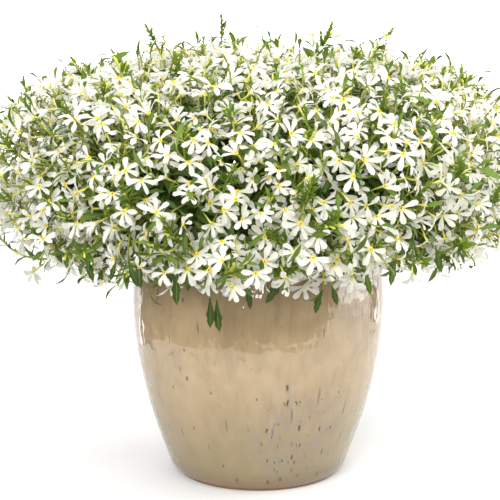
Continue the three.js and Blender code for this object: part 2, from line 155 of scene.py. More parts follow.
class Gathering:
    # many copies of shapes, as one mesh
    def __init__(self):
        self.parts, self.count = [], 0

    def add(self, shape, matrix=None, tone=0.5):
        points = shape.pointArray
        if matrix is not None:
            m = np.array(matrix)
            points = points @ m[:3, :3].T + m[:3, 3]
        marks = np.column_stack([shape.markArray, np.full(len(points), tone)])
        self.parts.append((points, marks, shape.corners + self.count, shape.sizes, shape.finishArray))
        self.count += len(points)

    def build(self, name, materials):
        points, marks, corners, sizes, finishes = (np.concatenate(p) for p in zip(*self.parts))
        mesh = bpy.data.meshes.new(name)
        mesh.vertices.add(len(points))
        mesh.vertices.foreach_set("co", points.ravel())
        mesh.loops.add(len(corners))
        mesh.loops.foreach_set("vertex_index", corners)
        mesh.polygons.add(len(sizes))
        mesh.polygons.foreach_set("loop_start", np.concatenate([[0], np.cumsum(sizes)[:-1]]))
        mesh.polygons.foreach_set("material_index", finishes)
        for material in materials:
            mesh.materials.append(material)
        mesh.update(calc_edges=True)
        mesh.shade_smooth()
        marked = mesh.attributes.new("marks", "FLOAT_VECTOR", "POINT")
        marked.data.foreach_set("vector", marks.ravel())
        piece = bpy.data.objects.new(name, mesh)
        scene.collection.objects.link(piece)
        return piece


def dress(piece, slot, *nodes):
    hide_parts(*nodes)
    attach(piece, "root")
    return piece


# Material helpers

def newMaterial(name, **sockets):
    material = bpy.data.materials.new(name)
    material.use_nodes = True
    shader = material.node_tree.nodes["Principled BSDF"]
    for socket, value in sockets.items():
        shader.inputs[socket.replace("_", " ")].default_value = value
    return material, material.node_tree, shader


def feed(tree, socket, value):
    # links another node's output, or sets a fixed value
    if isinstance(value, bpy.types.NodeSocket):
        tree.links.new(value, socket)
    else:
        socket.default_value = value


def addNode(tree, kind, values=(), **settings):
    # a node with its settings, and its inputs linked or set by name or number
    node = tree.nodes.new(kind)
    for name, value in settings.items():
        setattr(node, name, value)
    for socket, value in dict(values).items():
        feed(tree, node.inputs[socket], value)
    return node


def math2(tree, operation, a, b=0.0, clamp=False):
    return addNode(tree, "ShaderNodeMath", {0: a, 1: b}, operation=operation, use_clamp=clamp).outputs[0]


def times(tree, a, b):
    return math2(tree, "MULTIPLY", a, b)


def plus(tree, a, b, clamp=False):
    return math2(tree, "ADD", a, b, clamp)


def mixColours(tree, share, first, second):
    return addNode(tree, "ShaderNodeMix", {0: share, 6: first, 7: second}, data_type="RGBA").outputs[2]


def spread(tree, value, low, high, toLow=0.0, toHigh=1.0, smooth=True):
    kind = "SMOOTHSTEP" if smooth else "LINEAR"
    ends = {0: value, 1: low, 2: high, 3: toLow, 4: toHigh}
    return addNode(tree, "ShaderNodeMapRange", ends, interpolation_type=kind).outputs[0]


def noiseOf(tree, place, scale, detail=3.0, roughness=0.5):
    sockets = {"Vector": place, "Scale": scale, "Detail": detail, "Roughness": roughness}
    return addNode(tree, "ShaderNodeTexNoise", sockets).outputs["Fac"]


def addBump(tree, shader, height, strength, distance):
    bump = addNode(tree, "ShaderNodeBump", {"Height": height, "Strength": strength, "Distance": distance})
    tree.links.new(bump.outputs[0], shader.inputs["Normal"])


def letLightThrough(tree, shader, share, colour):
    lit = addNode(tree, "ShaderNodeBsdfTranslucent", {"Color": colour})
    both = addNode(tree, "ShaderNodeMixShader", {0: share, 1: shader.outputs[0], 2: lit.outputs[0]})
    tree.links.new(both.outputs[0], tree.nodes["Material Output"].inputs["Surface"])


def newGroup(name, ins, outs):
    # a node group whose sockets all carry plain numbers
    group = bpy.data.node_groups.new(name, "ShaderNodeTree")
    for socket, value in ins.items():
        made = group.interface.new_socket(socket, in_out="INPUT", socket_type="NodeSocketFloat")
        made.default_value = value
    for socket in outs:
        group.interface.new_socket(socket, in_out="OUTPUT", socket_type="NodeSocketFloat")
    return group, group.nodes.new("NodeGroupInput"), group.nodes.new("NodeGroupOutput")


def useGroup(tree, group, **values):
    return addNode(tree, "ShaderNodeGroup", values, node_tree=group)


def makeMottle():
    # two sizes of cloudy change, as a share from 0 to 1
    group, given, out = newGroup("mottle", {"Coarse": 40.0, "Fine": 300.0, "Stretch": 1.0}, ["Share"])
    place = addNode(group, "ShaderNodeTexCoord").outputs["Object"]
    split = addNode(group, "ShaderNodeSeparateXYZ", {0: place})
    squeezed = times(group, split.outputs[2], given.outputs["Stretch"])
    joined = addNode(group, "ShaderNodeCombineXYZ", {0: split.outputs[0], 1: split.outputs[1], 2: squeezed})
    coarse = noiseOf(group, joined.outputs[0], given.outputs["Coarse"], 3.0, 0.55)
    fine = noiseOf(group, joined.outputs[0], given.outputs["Fine"], 2.0, 0.6)
    both = plus(group, times(group, coarse, 0.65), times(group, fine, 0.35))
    group.links.new(spread(group, both, 0.3, 0.7), out.inputs["Share"])
    return group


def makeVeins():
    # a blade's midrib and its slanting side veins, from the marks on its points
    outs = ["Rib", "Veins", "Along", "Tone"]
    group, given, out = newGroup("veins", {"Pairs": 6.0, "Slant": 0.35, "Rib": 0.08}, outs)
    marks = addNode(group, "ShaderNodeAttribute", attribute_name="marks", attribute_type="GEOMETRY")
    split = addNode(group, "ShaderNodeSeparateXYZ", {0: marks.outputs["Vector"]})
    along, across, tone = split.outputs
    edge = math2(group, "ABSOLUTE", across)
    rib = spread(group, edge, given.outputs["Rib"], 0.0)
    slanted = math2(group, "SUBTRACT", along, times(group, edge, given.outputs["Slant"]))
    turns = times(group, slanted, given.outputs["Pairs"])
    wave = math2(group, "SINE", times(group, turns, 2 * math.pi))
    veins = spread(group, wave, 0.8, 1.0)
    for name, value in zip(outs, (rib, veins, along, tone)):
        group.links.new(value, out.inputs[name])
    return group


mottleGroup = makeMottle()
veinsGroup = makeVeins()
print("shader groups made")


# The pot

pot = {
    "height": 0.235, "belly": 0.1255, "bellyHeight": 0.172, "rim": 0.117,
    "wall": 0.009, "floor": 0.013, "lip": 0.009,
    "glazeFoot": 0.0845, "bareFoot": 0.0805, "glazeStart": 0.0048, "glazeRoll": 0.0004,
    "sides": 150, "steps": 50, "rimSteps": 10, "insideSteps": 30, "wobble": 0.0005, "throwing": 0.00016,
    "drainRadius": 0.007, "drainFromAxis": 0.042, "drainCount": 3,
}


def potRadius(z):
    # the CAD pot's own outside curve
    if z < pot["bellyHeight"]:
        return pot["belly"] - (pot["belly"] - pot["glazeFoot"]) * (1 - z / pot["bellyHeight"]) ** 1.75
    part = (z - pot["bellyHeight"]) / (pot["height"] - pot["bellyHeight"])
    return pot["belly"] - (pot["belly"] - pot["rim"]) * part * part


def potProfile():
    lip = pot["lip"] / 2
    top = pot["height"] - lip
    # a bare foot with soft corners, then the glaze, which rolls out a little over it
    outside = [(pot["bareFoot"] - 0.001, 0), (pot["bareFoot"], 0.0008), (pot["bareFoot"] + 0.0008, 0.0028)]
    outside += [(pot["glazeFoot"] - 0.0012, 0.0034), (pot["glazeFoot"], pot["glazeStart"])]
    for i in range(1, pot["steps"] + 1):
        z = pot["glazeStart"] + (top - pot["glazeStart"]) * i / pot["steps"]
        outside.append((potRadius(z) + pot["glazeRoll"] * ease(0.03, 0.0, z), z))
    rimMiddle = potRadius(top) - lip
    curl = [math.pi * i / pot["rimSteps"] for i in range(1, pot["rimSteps"])]
    rim = [(rimMiddle + lip * math.cos(a), top + lip * math.sin(a)) for a in curl]
    inside = []
    for i in range(pot["insideSteps"] + 1):
        z = top - (top - pot["floor"] - 0.006) * i / pot["insideSteps"]
        inside.append((potRadius(z) - pot["lip"], z))
    corner = [(potRadius(pot["floor"]) - pot["wall"] - 0.005, pot["floor"])]
    return outside + rim + inside + corner


def makePot():
    profile = potProfile()
    shape = Shape()
    rings = []
    for radius, z in profile:
        ring = []
        for angle in circle(pot["sides"]):
            way = Vector((math.cos(angle), math.sin(angle), 0))
            swell = pot["wobble"] * noise.noise(way * 1.7 + up * z * 9)
            swell += pot["throwing"] * math.sin(z * 900 + 2 * noise.noise(way * 2)) * ease(0.01, 0.04, z)
            grown = radius + (swell if z > 0.006 else 0)
            ring.append(shape.point((way.x * grown, way.y * grown, z)))
        rings.append(ring)
    shape.rings(rings, 0)
    shape.face(reversed(rings[0]), 0)
    gathering = Gathering()
    gathering.add(shape.ready())
    piece = gathering.build("glazedPot", [glazeMaterial()])
    for k in range(pot["drainCount"]):
        angle = 2 * math.pi * (k + 0.5) / pot["drainCount"]
        reach = pot["drainFromAxis"]
        spot = (reach * math.cos(angle), reach * math.sin(angle), pot["floor"] / 2)
        bpy.ops.mesh.primitive_cylinder_add(vertices=24, radius=pot["drainRadius"], depth=0.04, location=spot)
        drill = bpy.context.object
        cut = piece.modifiers.new("drain", "BOOLEAN")
        cut.object, cut.operation, cut.solver = drill, "DIFFERENCE", "EXACT"
        bpy.context.view_layer.objects.active = piece
        bpy.ops.object.modifier_apply(modifier="drain")
        bpy.data.objects.remove(drill)
    piece.data.shade_smooth()
    return dress(piece, "glazed_pot", "pot")


glaze = {
    # olive serves both as the glaze's own streaks and as painted shade on the lower body; brown is painted
    # shade at the foot
    "sand": (0.335, 0.236, 0.123, 1), "pale": (0.42, 0.304, 0.171, 1), "olive": (0.193, 0.15, 0.074, 1),
    "brown": (0.17, 0.095, 0.045, 1), "pink": (0.29, 0.178, 0.13, 1), "greyBlue": (0.19, 0.172, 0.16, 1),
    "speck": (0.10, 0.034, 0.014, 1), "core": (0.018, 0.012, 0.009, 1), "drip": (0.07, 0.058, 0.055, 1),
    "bare": (0.22, 0.105, 0.045, 1), "roughness": 0.02, "cloudy": 0.025,
    # the middle of the grey-blue patch, and how far it reaches
    "patchPlace": (0.036, -0.095, 0.062), "patchReach": 0.068, "runs": 0.54,
    # dots: how many to the metre, how long they are drawn, the share left out, their size and their sway
    "specks": (165.0, 0.42, 0.15, 0.44, 0.004), "freckles": (48.0, 0.5, 0.6, 0.11, 0.003),
    "chips": (75.0, 0.7, 0.62, 0.3, 0.006), "drips": (62.0, 0.15, 0.5, 0.13, 0.0025),
    "bump": 0.0010, "ripples": 1.7, "swells": 2.6, "pits": -0.25,
}


def glazeDots(tree, place, bearing, height, kind):
    # small dots on the pot's outside, laid out flat round it, each drawn out upwards
    scale, stretch, keep, size, sway = glaze[kind]
    bent = addNode(tree, "ShaderNodeTexNoise", {"Vector": place, "Scale": 330.0}).outputs["Fac"]
    pushed = plus(tree, bearing, times(tree, math2(tree, "SUBTRACT", bent, 0.5), sway))
    flat = addNode(tree, "ShaderNodeCombineXYZ", {0: pushed, 1: times(tree, height, stretch)})
    sockets = {"Vector": flat.outputs[0], "Scale": scale}
    cells = addNode(tree, "ShaderNodeTexVoronoi", sockets, voronoi_dimensions="2D")
    picked = addNode(tree, "ShaderNodeSeparateColor", {0: cells.outputs["Color"]})
    chosen = math2(tree, "GREATER_THAN", picked.outputs[0], keep)
    sized = times(tree, picked.outputs[1], size)
    inside = spread(tree, cells.outputs["Distance"], sized, times(tree, sized, 0.3))
    return times(tree, inside, chosen)


def glazeMaterial():
    material, tree, shader = newMaterial("glaze", IOR=1.68)
    place = addNode(tree, "ShaderNodeTexCoord").outputs["Object"]
    x, y, height = addNode(tree, "ShaderNodeSeparateXYZ", {0: place}).outputs
    clouds = useGroup(tree, mottleGroup, Coarse=18.0, Fine=70.0, Stretch=0.8).outputs["Share"]
    streaks = useGroup(tree, mottleGroup, Coarse=90.0, Fine=600.0, Stretch=0.06).outputs["Share"]
    grain = useGroup(tree, mottleGroup, Coarse=240.0, Fine=900.0, Stretch=0.3).outputs["Share"]
    colour = mixColours(tree, clouds, glaze["sand"], glaze["pale"])
    olive = times(tree, streaks, spread(tree, clouds, 0.9, 0.1, 0.10, 0.42))
    colour = mixColours(tree, olive, colour, glaze["olive"])
    colour = mixColours(tree, times(tree, grain, 0.10), colour, glaze["greyBlue"])
    # under the lip the glaze runs thin and pinkish; towards the foot the colour is darkened, painted shade
    # for the shadow near the floor
    thin = times(tree, spread(tree, height, 0.195, 0.228), 0.6)
    colour = mixColours(tree, thin, colour, glaze["pink"])
    # painted shade: more and more olive from 15 cm above the floor down to the foot
    low, lowest = spread(tree, height, 0.15, 0.02, 0.0, 0.8), spread(tree, height, 0.03, 0.004, 0.0, 0.4)
    colour = mixColours(tree, plus(tree, low, lowest, clamp=True), colour, glaze["olive"])
    # painted shade: brown mixed in over the last few millimetres above the floor
    colour = mixColours(tree, spread(tree, height, 0.024, 0.003, 0.0, 0.5), colour, glaze["brown"])

    # grey-blue runs on the lower body, most of all to the right of the front
    ends = {0: place, 1: glaze["patchPlace"]}
    away = addNode(tree, "ShaderNodeVectorMath", ends, operation="DISTANCE").outputs["Value"]
    patch = spread(tree, away, glaze["patchReach"], 0.02)
    runs = useGroup(tree, mottleGroup, Coarse=230.0, Fine=1200.0, Stretch=0.05).outputs["Share"]
    patches = useGroup(tree, mottleGroup, Coarse=24.0, Fine=60.0, Stretch=0.4).outputs["Share"]
    wide = spread(tree, patches, 0.6, 1.0)
    lower = spread(tree, height, 0.19, 0.08, 0.25, 0.9)
    share = plus(tree, patch, times(tree, wide, lower), clamp=True)
    share = times(tree, share, spread(tree, runs, 0.2, 1.0))
    colour = mixColours(tree, times(tree, share, glaze["runs"]), colour, glaze["greyBlue"])

    # specks and short drips
    bearing = times(tree, math2(tree, "ARCTAN2", x, times(tree, y, -1.0)), 0.115)   # metres round the pot
    specks, freckles, chips, drips = (
        glazeDots(tree, place, bearing, height, kind) for kind in ("specks", "freckles", "chips", "drips"))
    speckShare = times(tree, specks, spread(tree, share, 0.08, 0.5, 0.0, 0.9))
    colour = mixColours(tree, speckShare, colour, glaze["speck"])
    colour = mixColours(tree, spread(tree, speckShare, 0.55, 0.85), colour, glaze["core"])
    colour = mixColours(tree, times(tree, freckles, 0.8), colour, glaze["speck"])
    nearFoot = times(tree, chips, spread(tree, height, 0.022, 0.012))
    colour = mixColours(tree, times(tree, nearFoot, 0.9), colour, glaze["speck"])
    colour = mixColours(tree, times(tree, drips, 0.6), colour, glaze["drip"])

    # the bare clay foot, where the glaze stops in an uneven line
    line = plus(tree, height, times(tree, noiseOf(tree, place, 45.0), -0.003))
    bare = spread(tree, line, 0.0022, 0.0014)
    colour = mixColours(tree, bare, colour, glaze["bare"])
    tree.links.new(colour, shader.inputs["Base Color"])
    gloss = spread(tree, clouds, 0.0, 1.0, glaze["roughness"], glaze["roughness"] + glaze["cloudy"])
    rough = math2(tree, "MAXIMUM", gloss, times(tree, bare, 0.8))
    tree.links.new(rough, shader.inputs["Roughness"])
    ends = {0: place, 1: (1.0, 1.0, 0.45)}
    tall = addNode(tree, "ShaderNodeVectorMath", ends, operation="MULTIPLY").outputs["Vector"]
    relief = times(tree, noiseOf(tree, tall, 110.0, 1.5), glaze["ripples"])
    swells = times(tree, noiseOf(tree, place, 30.0, 1.0), glaze["swells"])
    relief = plus(tree, relief, swells)
    relief = plus(tree, relief, times(tree, specks, glaze["pits"]))
    addBump(tree, shader, relief, 0.5, glaze["bump"])
    return material


makePot()
print("pot thrown and glazed")


# The compost

compost = {
    "level": 0.217, "crown": 0.005, "gap": 0.0005, "rings": 34, "sides": 110, "rough": 0.0035, "crumbs": 260,
    "dark": (0.022, 0.012, 0.007, 1), "light": (0.075, 0.045, 0.026, 1),
}


def compostMaterial():
    material, tree, shader = newMaterial("pottingCompost", Roughness=0.95)
    grains = useGroup(tree, mottleGroup, Coarse=180.0, Fine=900.0).outputs["Share"]
    tree.links.new(mixColours(tree, grains, compost["dark"], compost["light"]), shader.inputs["Base Color"])
    addBump(tree, shader, grains, 0.6, 0.002)
    return material


def makeCompost():
    dice = random.Random(11)
    shape = Shape()
    edge = potRadius(compost["level"]) - pot["wall"] - 0.0015
    wall = [(potRadius(z) - pot["wall"] - compost["gap"], z) for z in (0.2, 0.12, 0.05)]
    bottom = (potRadius(pot["floor"]) - pot["wall"] - 0.006, pot["floor"] + compost["gap"])
    rings = []
    angles = circle(compost["sides"])
    for radius, z in [bottom, *reversed(wall)]:
        rings.append([shape.point((radius * math.cos(a), radius * math.sin(a), z)) for a in angles])
    for i in range(compost["rings"]):
        part = 1 - i / compost["rings"]
        ring = []
        for angle in angles:
            x, y = edge * part * math.cos(angle), edge * part * math.sin(angle)
            lump = noise.fractal(Vector((x, y, 0)) * 130, 0.6, 2.0, 4) * compost["rough"]
            lump *= ease(1.0, 0.94, part)
            z = compost["level"] + compost["crown"] * (1 - part) + lump
            ring.append(shape.point((x, y, z)))
        rings.append(ring)
    shape.rings(rings, 0)
    shape.face(reversed(rings[0]), 0)
    gathering = Gathering()
    gathering.add(shape.ready())
    # loose crumbs, half sunk in it
    crumb = Shape()
    crumbRings = []
    corners = (0, 1.2, 2.5, 3.8, 5.0)
    for z, r in ((-0.6, 0.7), (0.0, 1.0), (0.6, 0.6)):
        crumbRings.append([crumb.point((r * math.cos(a), r * math.sin(a), z)) for a in corners])
    crumb.rings(crumbRings, 0)
    crumb.face(reversed(crumbRings[0]), 0)
    crumb.ready()
    for _ in range(compost["crumbs"]):
        radius, angle = edge * 0.97 * math.sqrt(dice.random()), dice.uniform(0, 2 * math.pi)
        z = compost["level"] + compost["crown"] * (1 - radius / edge) + 0.0005
        place = Vector((radius * math.cos(angle), radius * math.sin(angle), z))
        gathering.add(crumb, standing(place, anyWay(dice), anyWay(dice), dice.uniform(0.001, 0.0028)))
    piece = gathering.build("compostFill", [compostMaterial()])
    return dress(piece, "compost", "compost")


makeCompost()
print("compost filled")


# The plan of the mound, the same as the CAD plan: a flattened round whose lower edge curls below the rim

mound = {
    "radius": 0.258, "middle": 0.312, "rise": 0.106, "drop": 0.122, "fullness": 2.6, "lastAngle": 145,
    # the lower edge curls in a little higher than the CAD's, most of all in front and at both sides
    "lift": 0.009, "liftFront": 0.006, "liftSides": 0.024,
    # the bumps, how much calmer they are on top, and how many there are to the metre
    "bumps": 0.026, "calmer": 0.009, "bumpScale": 13,
}
heart = Vector((0, 0, 0.265))   # the middle of the inner leafage


def outlineAt(degrees):
    angle = math.radians(degrees)
    power = 2 / mound["fullness"]
    radius = mound["radius"] * abs(math.sin(angle)) ** power
    tall = mound["rise"] if math.cos(angle) > 0 else -mound["drop"]
    return radius, mound["middle"] + tall * abs(math.cos(angle)) ** power


def measuredOutline():
    rows, area = [], 0.0
    for step in range(2 * mound["lastAngle"] + 1):
        radius, z = outlineAt(step / 2)
        if rows:
            r0, z0, _ = rows[-1]
            area += (radius + r0) * math.hypot(radius - r0, z - z0)
        rows.append((radius, z, area))
    return rows


outline = measuredOutline()
outlineArea = np.array([row[2] for row in outline])


def moundAt(share, bearing):
    # the point and outward direction where a share of the mound's area lies above
    i = max(1, int(np.searchsorted(outlineArea, share * outlineArea[-1])))
    (r0, z0, a0), (r1, z1, a1) = outline[i - 1], outline[i]
    part = (share * outlineArea[-1] - a0) / (a1 - a0)
    radius, z = r0 + part * (r1 - r0), z0 + part * (z1 - z0)
    slope = Vector((z0 - z1, r1 - r0)).normalized()
    c, s = math.cos(bearing), math.sin(bearing)
    front = max(0.0, -s) ** 2 * ease(0.74, 0.98, share)
    lift = mound["liftFront"] * front + mound["lift"] * ease(0.78, 0.98, share)
    sides = mound["liftSides"] * ease(0.12, 0.24, radius * c)
    sides += mound["liftSides"] * ease(0.14, 0.24, -radius * c)
    lift += sides * ease(0.72, 0.95, share)
    size = mound["bumps"] - mound["calmer"] * max(0.0, slope.y)
    bumps = size * noise.noise(Vector((radius * c, radius * s, z)) * mound["bumpScale"] + up * 3)
    outward = Vector((slope.x * c, slope.x * s, slope.y))
    return Vector((radius * c, radius * s, z + lift)) + outward * bumps, outward


branch = {
    "crown": 0.046, "spread": 0.86, "first": 0.6, "depth": 0.009, "neck": 0.02, "reach": 0.5,
    "radius": 0.0028, "steps": 12, "sides": 8,
}


def makeBranchPlans():
    # where each branch stands in its hole, and where it heads
    plans = []
    for i, name in enumerate(branchNames):
        bearing = i * goldenAngle + branch["first"]
        share = (i + 0.5) / len(branchNames)
        point, _ = moundAt(share * branch["spread"], bearing)
        heading = point - heart
        heading.normalize()
        heading.z = max(heading.z, 0.05)
        heading.normalize()
        near = branch["crown"] * math.sqrt(share)
        rootHeight = compost["level"] - branch["depth"]
        root = Vector((near * math.cos(bearing), near * math.sin(bearing), rootHeight))
        neck = root + up * branch["neck"]
        end = heart + heading * (point - heart).length * branch["reach"]
        plans.append({"name": name, "heading": heading, "root": root, "neck": neck, "end": end})
    return plans


def planTowards(plans, heading):
    return max(plans, key=lambda p: p["heading"].dot(heading))


def bezier(a, b, c, d, count):
    found = []
    for i in range(count + 1):
        t = i / count
        found.append(a * (1 - t) ** 3 + b * 3 * t * (1 - t) ** 2 + c * 3 * t * t * (1 - t) + d * t ** 3)
    return found


# Blade shapes: petals and leaves

def blade(shape, width, length, finish, rows, columns, dice, arch, fold, crimp=0.0, teeth=0.0,
          start=(0, 0, 0), turn=0.0, lift=0.0, roll=0.0):
    # a blade along +X turned about Z, whose slope goes from lift down by arch, in radians
    x, z, last = 0.0, 0.0, len(rows) - 1
    grid = []
    phase = dice.uniform(0, 6)
    for i, v in enumerate(rows):
        if i:
            step = (v - rows[i - 1]) * length
            slope = lift - arch * (v + rows[i - 1]) / 2
            x += step * math.cos(slope)
            z += step * math.sin(slope)
        half = width(v)
        if i == last and half < 1e-5:
            across = [0.0]
        else:
            across = [2 * k / (columns - 1) - 1 for k in range(columns)]
        line = []
        for u in across:
            atEdge = abs(u) > 0.99
            tooth = 1 + (teeth * (1 if i % 2 else -0.6) if atEdge and 1 < i < last else 0)
            y = u * half * tooth
            wave = crimp * abs(u) ** 2 * math.sin(v * 15 + phase + (1.7 if u > 0 else 0))
            rise = fold * abs(y) + roll * y * v + wave
            ahead = x + (teeth * half * 0.5 if atEdge and i % 2 and i < last else 0)
            px = start[0] + ahead * math.cos(turn) - y * math.sin(turn)
            py = start[1] + ahead * math.sin(turn) + y * math.cos(turn)
            line.append(shape.point((px, py, start[2] + z + rise), v, u))
        grid.append(line)
    shape.blades(grid, finish)


def smoothWidth(*stops):
    # a half width that runs smoothly between stops of (share of the length, half width)
    def width(v):
        for (v0, w0), (v1, w1) in zip(stops, stops[1:]):
            if v <= v1:
                return w0 + (w1 - w0) * ease(v0, v1, v)
        return stops[-1][1]
    return width


# The blooms: five petals fanned to one side of a yellow eye, on a slim green tube

bloom = {
    "petals": 5, "petalLength": 0.0139, "petalHalf": 0.0025, "crimp": 0.0005, "eye": 0.0019, "kinds": 14,
    "tube": 0.0078, "tubeRadii": (0.0013, 0.00095, 0.0007), "tubeBend": -0.25,
    "ovaryRadii": (0.0008, 0.0010, 0.0006),
    # a petal's width from its base to its tip, as shares of the length and of the greatest half width
    "petalStops": ((0.0, 0.3), (0.32, 0.6), (0.66, 1), (0.91, 0.78), (1.0, 0)),
    # rings of the eye: share of its radius, height, and how yellow it is
    "eyeRings": ((1.0, 0.0002, 1.0), (0.7, 0.0007, 0.8), (0.3, -0.0004, 0.15)),
    # how a bloom can stand: its fan in degrees, and how far its petals lift and then arch over, in radians
    "poses": (
        (212, 0.45, 0.9), (196, 0.75, 0.9), (222, 0.3, 1.3), (205, 0.5, 0.6), (178, 0.95, 0.8),
        (235, 0.45, 1.0), (215, 0.35, 0.7),
    ),
}


def makeBloomShape(kind):
    dice = random.Random(200 + kind)
    shape = Shape()
    fan, lift, arch = bloom["poses"][kind % len(bloom["poses"])]
    step = math.radians(fan + dice.uniform(-14, 14)) / (bloom["petals"] - 1)
    rows = [v for v, _ in bloom["petalStops"]]
    for i in range(bloom["petals"]):
        size = dice.uniform(0.86, 1.08)
        half = bloom["petalHalf"] * dice.uniform(0.86, 1.16)
        stops = [(v, half * share) for v, share in bloom["petalStops"]]
        angle = (i - (bloom["petals"] - 1) / 2) * step + dice.uniform(-0.13, 0.13)
        reach = bloom["eye"] * 0.55
        start = (reach * math.cos(angle), reach * math.sin(angle), 0.0)
        blade(shape, smoothWidth(*stops), bloom["petalLength"] * size, 0, rows, 5,
              arch=arch + dice.uniform(-0.35, 0.35), fold=dice.uniform(0.15, 0.4), crimp=bloom["crimp"],
              start=start, turn=angle, lift=lift + dice.uniform(-0.2, 0.2), roll=dice.uniform(-0.5, 0.5),
              dice=dice)
    # the eye: a yellow rim that dips to a brown throat
    eyeRings = []
    for radius, z, along in bloom["eyeRings"]:
        ring = []
        for angle in circle(6):
            r = bloom["eye"] * radius * (1 + 0.12 * math.cos(3 * angle))
            ring.append(shape.point((r * math.cos(angle), r * math.sin(angle), z), along))
        eyeRings.append(ring)
    shape.rings(eyeRings, 1)
    # the tube and the ovary below it
    bend = Vector((bloom["tubeBend"], 0, 0))
    places = [Vector((0, 0, 0.0001))]
    places += [Vector((0, 0, -bloom["tube"] * t)) + bend * bloom["tube"] * t * t for t in (0.5, 1.0)]
    shape.tube(places, bloom["tubeRadii"], 4, 2)
    foot = places[-1]
    low = foot + Vector((-0.0006, 0, -0.003))
    shape.tube([foot + Vector((0, 0, 0.0004)), (foot + low) / 2, low], bloom["ovaryRadii"], 4, 3)
    # the hooked style over the open side
    hook = [Vector((-0.0010, 0, -0.0002)), Vector((-0.0008, 0, 0.0016)), Vector((0.0006, 0, 0.0024))]
    shape.tube(hook, [0.00025, 0.00025, 0.00045], 3, 2)
    return shape.ready(), low


def makeBudShape(seed):
    dice = random.Random(seed)
    shape = Shape()
    length, bend = dice.uniform(0.009, 0.014), dice.uniform(-0.2, 0.25)
    places = [Vector((length * t, 0, bend * length * t * t)) for t in (0, 0.18, 0.5, 0.78, 1.0)]
    shape.tube(places, [0.0006, 0.00095, 0.00075, 0.00115, 0.0003], 5, 4, near=up)
    return shape.ready()


petal = {
    # the grey of the petal's veins, which is also painted shade along the crease down each petal's middle
    "white": (0.92, 0.912, 0.855, 1), "shade": (0.905, 0.897, 0.81, 1), "veinAndCreaseShade": (0.70, 0.705, 0.61, 1),
    "yellow": (0.82, 0.74, 0.14, 1), "lit": (0.93, 0.925, 0.81, 1), "through": 0.45, "roughness": 0.6,
}
eyeColours = {"yellow": (0.87, 0.68, 0.02, 1), "brown": (0.40, 0.19, 0.012, 1)}


def petalMaterial():
    material, tree, shader = newMaterial("petal", Roughness=petal["roughness"], Specular_IOR_Level=0.15)
    marks = useGroup(tree, veinsGroup, Pairs=9.0, Slant=0.9, Rib=0.12)
    rib, veins, along, tone = marks.outputs
    colour = mixColours(tree, spread(tree, tone, 0.25, 1.0), petal["white"], petal["shade"])
    # the grey midrib line is partly the petal's midvein and partly painted shade in the crease down its
    # middle; the slanting lines are its veins
    lines = plus(tree, times(tree, rib, 0.55), times(tree, veins, 0.3), clamp=True)
    colour = mixColours(tree, lines, colour, petal["veinAndCreaseShade"])
    base = times(tree, spread(tree, along, 0.31, 0.05), 0.9)
    colour = mixColours(tree, base, colour, petal["yellow"])
    back = addNode(tree, "ShaderNodeNewGeometry").outputs["Backfacing"]
    colour = mixColours(tree, times(tree, back, 0.3), colour, petal["shade"])
    tree.links.new(colour, shader.inputs["Base Color"])
    addBump(tree, shader, math2(tree, "SUBTRACT", veins, rib), 0.35, 0.0003)
    letLightThrough(tree, shader, petal["through"], petal["lit"])
    return material


def eyeMaterial():
    material, tree, shader = newMaterial("eye", Roughness=0.5)
    along = useGroup(tree, veinsGroup).outputs["Along"]
    speckle = useGroup(tree, mottleGroup, Coarse=900.0, Fine=3000.0).outputs["Share"]
    share = spread(tree, plus(tree, along, times(tree, speckle, 0.15)), 0.3, 0.72)
    colour = mixColours(tree, share, eyeColours["brown"], eyeColours["yellow"])
    tree.links.new(colour, shader.inputs["Base Color"])
    return material


greenKinds = {
    # the dark and the light end, the ribs' colour, roughness, pairs of veins, and the light let through
    "leaf": ((0.021, 0.046, 0.006), (0.145, 0.233, 0.024), (0.19, 0.27, 0.07), 0.45, 6.0, 0.16),
    "tuftLeaf": ((0.038, 0.084, 0.009), (0.21, 0.31, 0.022), (0.23, 0.31, 0.06), 0.5, 3.0, 0.16),
    "stem": ((0.16, 0.21, 0.024), (0.38, 0.40, 0.06), (0.32, 0.35, 0.07), 0.5, 2.0, 0.0),
    "bloomTube": ((0.42, 0.42, 0.07), (0.66, 0.61, 0.18), (0.6, 0.56, 0.2), 0.5, 2.0, 0.0),
    "ovary": ((0.20, 0.30, 0.04), (0.40, 0.46, 0.08), (0.36, 0.42, 0.1), 0.5, 2.0, 0.0),
    "bud": ((0.36, 0.42, 0.045), (0.66, 0.66, 0.16), (0.62, 0.61, 0.15), 0.5, 2.0, 0.0),
}


def greenMaterial(name):
    # a green that runs from dark to light by each copy's tone, with a paler midrib and veins
    dark, light, ribColour, rough, pairs, through = greenKinds[name]
    material, tree, shader = newMaterial(name, Roughness=rough, Specular_IOR_Level=0.25)
    rib, veins, _, tone = useGroup(tree, veinsGroup, Pairs=pairs, Slant=0.45, Rib=0.16).outputs
    patches = useGroup(tree, mottleGroup, Coarse=60.0, Fine=400.0).outputs["Share"]
    share = plus(tree, tone, times(tree, math2(tree, "SUBTRACT", patches, 0.5), 0.35))
    colour = mixColours(tree, spread(tree, share, 0.0, 1.0, smooth=False), (*dark, 1), (*light, 1))
    lines = math2(tree, "MAXIMUM", times(tree, rib, 0.7), times(tree, veins, 0.22))
    colour = mixColours(tree, lines, colour, (*ribColour, 1))
    tree.links.new(colour, shader.inputs["Base Color"])
    addBump(tree, shader, plus(tree, rib, times(tree, veins, 0.5)), 0.5, -0.0004)
    if through:
        letLightThrough(tree, shader, through, (light[0] * 1.3, light[1] * 1.3, light[2] * 0.8, 1))
    return material


